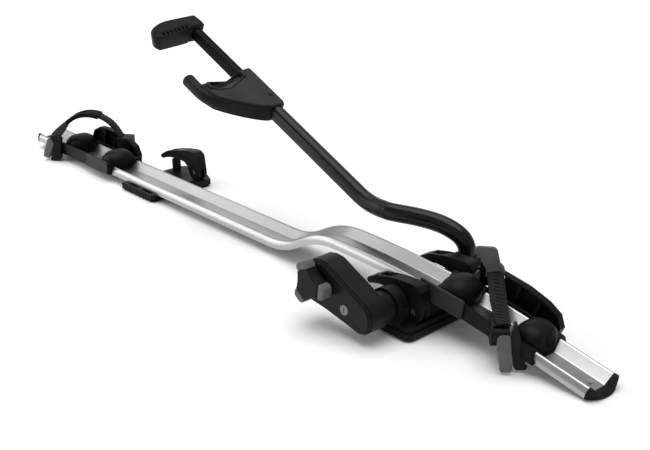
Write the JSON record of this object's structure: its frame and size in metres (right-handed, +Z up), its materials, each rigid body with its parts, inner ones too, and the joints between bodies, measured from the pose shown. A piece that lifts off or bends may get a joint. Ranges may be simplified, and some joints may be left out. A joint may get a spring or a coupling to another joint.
{
  "type": "roof mounted bike carrier",
  "caption": "Upright bike carrier for a car roof: a cranked rail on clamp feet, wheel trays with ladder straps, and a folding arm whose knob closes a padded frame clamp.",
  "frame": {"origin": "on the plane that the feet stand on, under the middle of the front foot and the middle of the rail", "axes": "+X forward along the rail, +Y across it away from the knob, +Z up"},
  "size_m": [1.4517, 0.2886, 0.3469],
  "materials": {
    "rail_metal": "anodised extrusion, satin",
    "black_plastic": "fine grained moulding",
    "grey_plastic": "fine grained moulding",
    "rubber": "soft moulding",
    "steel": "zinc plated",
    "arm_paint": "gloss black coat on aluminium tube",
    "bar_metal": "black anodised, long grooves",
    "lock_metal": "satin chrome"
  },
  "bodies": {
    "base": {"rail": "rail_metal", "front_end_cap": "black_plastic", "rear_end_cap": "black_plastic", "cap_screws": "steel", "front_foot": "black_plastic", "front_foot_sole": "rubber", "front_foot_bolts": "steel", "front_clamp_studs": "steel", "front_lever_pins": "steel", "axle_bushes": "grey_plastic", "front_tray": "black_plastic", "front_tyre_guard": "black_plastic", "front_side_plate": "black_plastic", "front_anchor_bracket": "black_plastic", "front_anchor_clip": "grey_plastic", "front_ladder_strap": "rubber", "front_buckle_body": "black_plastic", "front_buckle_pin": "steel"},
    "near_lever": {"near_clamp_lever": "black_plastic"},
    "far_lever": {"far_clamp_lever": "black_plastic"},
    "rear_foot": {"rear_foot": "black_plastic", "rear_foot_sole": "rubber", "rear_foot_bolts": "steel", "rear_clamp_stud": "steel", "rear_lever_pin": "steel"},
    "rear_lever": {"rear_clamp_lever": "black_plastic"},
    "front_buckle": {"front_buckle_lever": "grey_plastic"},
    "rear_tray": {"rear_tray": "black_plastic", "rear_tyre_guard": "black_plastic", "rear_side_plate": "black_plastic", "rear_anchor_bracket": "black_plastic", "rear_ladder_strap": "rubber", "rear_strap_sleeve": "black_plastic", "rear_buckle_body": "black_plastic", "rear_buckle_pin": "steel"},
    "rear_buckle": {"rear_buckle_lever": "grey_plastic"},
    "arm": {"arm_axle": "steel", "arm_hub": "black_plastic", "lower_arm_tube": "arm_paint", "upper_arm_tube": "arm_paint", "claw_housing": "black_plastic", "claw_cover": "black_plastic", "claw_finger": "black_plastic", "lower_jaw_pad": "rubber", "claw_screws": "steel", "knob_housing": "black_plastic", "knob_cover": "black_plastic"},
    "jaw": {"slide_bar": "bar_metal", "pull_rod": "steel", "upper_jaw": "black_plastic", "upper_jaw_pad": "rubber"},
    "knob": {"knob": "black_plastic", "knob_grips": "grey_plastic", "knob_spindle": "steel", "cable_drum": "grey_plastic"},
    "lock": {"lock_cylinder": "lock_metal"}
  },
  "joints": [
    {"name": "arm_fold", "type": "hinge", "parent": "base", "child": "arm", "pos_m": [0.008, 0, 0.044], "axis": [0, 1, 0], "range_deg": [-10, 65]},
    {"name": "jaw_slide", "type": "slide", "parent": "arm", "child": "jaw", "axis": [0.9114, 0, -0.4115], "range_m": [0, 0.092]},
    {"name": "knob_turn", "type": "hinge", "parent": "arm", "child": "knob", "pos_m": [-0.076, -0.15, 0.074], "axis": [0, -1, 0], "range_deg": [0, 360]},
    {"name": "lock_turn", "type": "hinge", "parent": "arm", "child": "lock", "pos_m": [-0.018, -0.15, 0.048], "axis": [0, -1, 0], "range_deg": [0, 90]},
    {"name": "near_lever_swing", "type": "hinge", "parent": "base", "child": "near_lever", "pos_m": [0.042, -0.058, 0.0378], "axis": [0, 1, 0], "range_deg": [0, 95]},
    {"name": "far_lever_swing", "type": "hinge", "parent": "base", "child": "far_lever", "pos_m": [0.042, 0.058, 0.0378], "axis": [0, 1, 0], "range_deg": [0, 50]},
    {"name": "rear_foot_slide", "type": "slide", "parent": "base", "child": "rear_foot", "axis": [1, 0, 0], "range_m": [0, 0.14]},
    {"name": "rear_lever_swing", "type": "hinge", "parent": "rear_foot", "child": "rear_lever", "pos_m": [-0.675, 0.078, 0.0308], "axis": [0, 1, 0], "range_deg": [0, 90]},
    {"name": "rear_tray_slide", "type": "slide", "parent": "base", "child": "rear_tray", "axis": [1, 0, 0], "range_m": [-0.08, 0.03]},
    {"name": "front_buckle_swing", "type": "hinge", "parent": "base", "child": "front_buckle", "pos_m": [0.19549, -0.05463, 0.05619], "axis": [-0.7254, -0.6884, 0], "range_deg": [0, 100]},
    {"name": "rear_buckle_swing", "type": "hinge", "parent": "rear_tray", "child": "rear_buckle", "pos_m": [-1.01515, -0.05153, 0.04028], "axis": [-0.5948, 0.8039, 0], "range_deg": [0, 80]}
  ],
  "couplings": [
    {"joint": "knob_turn", "follows": "jaw_slide", "rad_per_m": 68.25}
  ]
}
